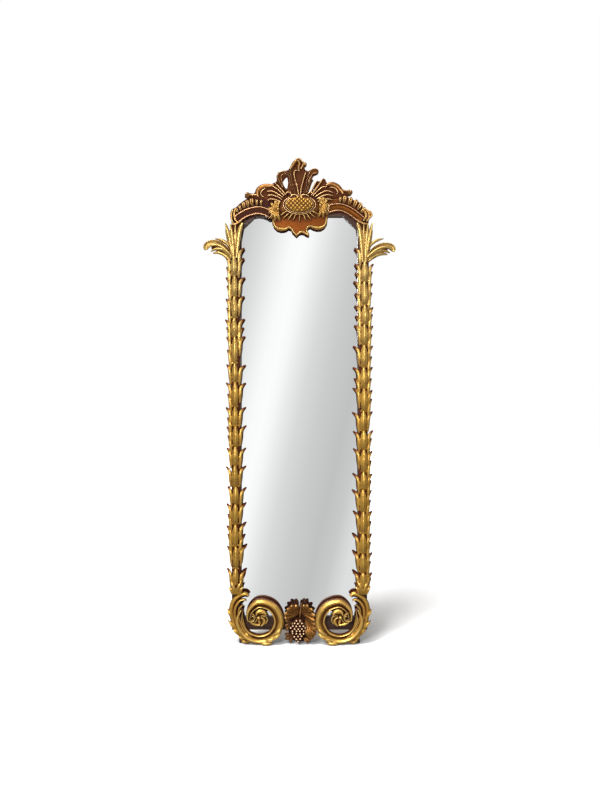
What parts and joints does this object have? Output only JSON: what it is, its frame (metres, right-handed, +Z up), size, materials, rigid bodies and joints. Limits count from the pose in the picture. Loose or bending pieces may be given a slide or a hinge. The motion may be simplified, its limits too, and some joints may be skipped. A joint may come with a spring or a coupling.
{
  "type": "pier mirror",
  "caption": "Tall pier mirror in a carved giltwood frame with palm-trunk stiles, a rocaille crest with cabochon, scroll feet and grapes.",
  "frame": {"origin": "on the floor, at the middle of the width and of the depth", "axes": "+X to the right seen from the front, +Y to the back, +Z up; the front faces -Y"},
  "size_m": [0.7244, 0.078, 1.832],
  "materials": {
    "mirror_plate": "silvered glass, polished",
    "bright_gilt": "burnished gilding with dark umber in the hollows",
    "bronzed_gilt": "bronzed gilding, reddish brown with pale highlights",
    "dark_gilt": "dark glazed gilding with pale highlights",
    "stained_wood": "stained dark brown",
    "plain_wood": "unfinished softwood",
    "steel": "plain zinc-plated steel"
  },
  "bodies": {
    "mirror": {"mirror_glass": "mirror_plate", "backboard": "plain_wood", "left_stile": "stained_wood", "right_stile": "stained_wood", "bottom_rail": "stained_wood", "top_rail": "stained_wood", "crest_board": "stained_wood", "crest_batten": "stained_wood", "frame_dowels": "plain_wood", "glass_blocks": "plain_wood", "setting_blocks": "plain_wood", "left_rear_foot": "stained_wood", "right_rear_foot": "stained_wood", "left_palm_trunk": "bright_gilt", "right_palm_trunk": "bright_gilt", "left_palm_frond": "bright_gilt", "right_palm_frond": "bright_gilt", "cartouche": "bronzed_gilt", "cabochon": "bronzed_gilt", "crest_plume": "bronzed_gilt", "crest_finial": "bronzed_gilt", "left_crest_fan": "bronzed_gilt", "right_crest_fan": "bronzed_gilt", "left_arm": "bronzed_gilt", "right_arm": "bronzed_gilt", "left_scroll": "bright_gilt", "right_scroll": "bright_gilt", "left_scroll_leaf": "bright_gilt", "right_scroll_leaf": "bright_gilt", "left_rosette": "bright_gilt", "right_rosette": "bright_gilt", "grape_bunch": "dark_gilt", "vine_leaves": "bright_gilt", "left_hanger_strap": "steel", "right_hanger_strap": "steel", "hanger_screws": "steel", "backboard_screws": "steel", "batten_screws": "steel", "foot_screws": "steel"},
    "left_ring": {"left_hanger_ring": "steel"},
    "right_ring": {"right_hanger_ring": "steel"}
  },
  "joints": [
    {"name": "left_ring_swing", "type": "hinge", "parent": "mirror", "child": "left_ring", "pos_m": [-0.12, 0.0269, 1.69], "axis": [1, 0, 0], "range_deg": [0, 170]},
    {"name": "right_ring_swing", "type": "hinge", "parent": "mirror", "child": "right_ring", "pos_m": [0.12, 0.0269, 1.69], "axis": [1, 0, 0], "range_deg": [0, 170]}
  ]
}
